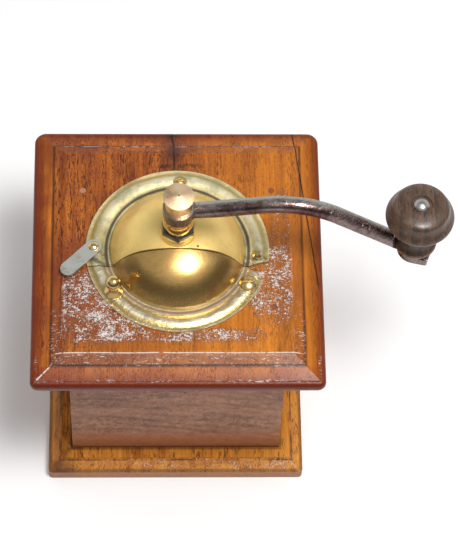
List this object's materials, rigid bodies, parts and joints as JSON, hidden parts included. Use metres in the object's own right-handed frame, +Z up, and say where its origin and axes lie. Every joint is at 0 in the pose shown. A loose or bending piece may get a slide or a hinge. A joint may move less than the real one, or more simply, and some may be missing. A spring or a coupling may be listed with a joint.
{
  "type": "hand crank coffee grinder",
  "caption": "Wooden box coffee mill with a brass dome, a side-swinging hatch with latch lever, a forged crank with wooden knob, conical burrs and a drawer at the back.",
  "frame": {"origin": "on the crank's axis, level with the underside of the base board", "axes": "+Z up along the crank's axis; +X towards the crank's handle at rest; -Y is the hatch side; +Y is the drawer side"},
  "size_m": [0.1983, 0.14, 0.1823],
  "materials": {
    "top_wood": "oiled, worn",
    "base_wood": "oiled, worn",
    "case_wood": "dry, dull",
    "drawer_wood": "raw",
    "knob_wood": "dark, polished by use",
    "hood_brass": "tarnished",
    "hatch_brass": "polished, darkened",
    "turned_brass": "turned, polished",
    "forged_iron": "forged, rubbed",
    "worn_steel": "dull, scratched",
    "mill_iron": "rough cast",
    "spring_steel": "dull"
  },
  "bodies": {
    "root": {"base_board": "base_wood", "case_front": "case_wood", "case_back": "case_wood", "case_left": "case_wood", "case_right": "case_wood", "base_screws": "worn_steel", "top_board": "top_wood", "top_nails": "worn_steel", "hood_shell": "hood_brass", "hood_back_screw": "turned_brass", "hood_right_pin": "turned_brass", "hatch_pivot_screw": "turned_brass", "latch_rivet": "turned_brass", "top_bearing_bush": "turned_brass", "hub_hex_nut": "worn_steel", "mill_funnel": "mill_iron", "mill_screws": "worn_steel", "outer_burr": "mill_iron", "lower_bridge": "worn_steel", "bridge_screws": "worn_steel", "detent_spring": "spring_steel", "detent_screw": "worn_steel", "spindle_spring": "spring_steel", "drawer_guide_left": "drawer_wood", "drawer_guide_right": "drawer_wood"},
    "step": {"step_bearing": "worn_steel"},
    "adjuster": {"adjusting_screw": "worn_steel"},
    "crank": {"spindle": "worn_steel", "inner_burr": "mill_iron", "burr_pin": "worn_steel", "spring_washer": "worn_steel", "crank_collar": "turned_brass", "crank_arm": "forged_iron", "cap_nut": "turned_brass", "handle_pin": "worn_steel", "handle_washer": "worn_steel"},
    "handle": {"handle_knob": "knob_wood"},
    "hatch": {"hatch_shell": "hatch_brass", "hatch_knob": "turned_brass"},
    "latch": {"latch_lever": "worn_steel"},
    "drawer": {"drawer_front": "case_wood", "drawer_left": "drawer_wood", "drawer_right": "drawer_wood", "drawer_back": "drawer_wood", "drawer_bottom": "drawer_wood", "drawer_nails": "worn_steel", "drawer_knob": "turned_brass", "drawer_knob_screw": "worn_steel"}
  },
  "joints": [
    {"name": "burr_lift", "type": "slide", "parent": "root", "child": "step", "axis": [0, 0, 1], "range_m": [-0.0004, 0.0004], "deforming": ["spindle_spring"]},
    {"name": "adjuster_turn", "type": "hinge", "parent": "step", "child": "adjuster", "pos_m": [0, 0, 0.0525], "axis": [0, 0, 1], "range_deg": [-180, 180]},
    {"name": "crank_turn", "type": "hinge", "parent": "step", "child": "crank", "pos_m": [0, 0, 0.155], "axis": [0, 0, 1], "continuous": true},
    {"name": "handle_spin", "type": "hinge", "parent": "crank", "child": "handle", "pos_m": [0.11223, -0.00785, 0.155], "axis": [0, 0, 1], "continuous": true},
    {"name": "hatch_swing", "type": "hinge", "parent": "root", "child": "hatch", "pos_m": [0.03353, -0.01851, 0.123], "axis": [0, 0, 1], "range_deg": [0, 100]},
    {"name": "latch_turn", "type": "hinge", "parent": "root", "child": "latch", "pos_m": [-0.04029, 0.0007, 0.125], "axis": [0, 0, 1], "range_deg": [-90, 45]},
    {"name": "drawer_slide", "type": "slide", "parent": "root", "child": "drawer", "axis": [0, 1, 0], "range_m": [0, 0.075]}
  ],
  "couplings": [
    {"joint": "adjuster_turn", "follows": "burr_lift", "rad_per_m": 7853.9}
  ]
}
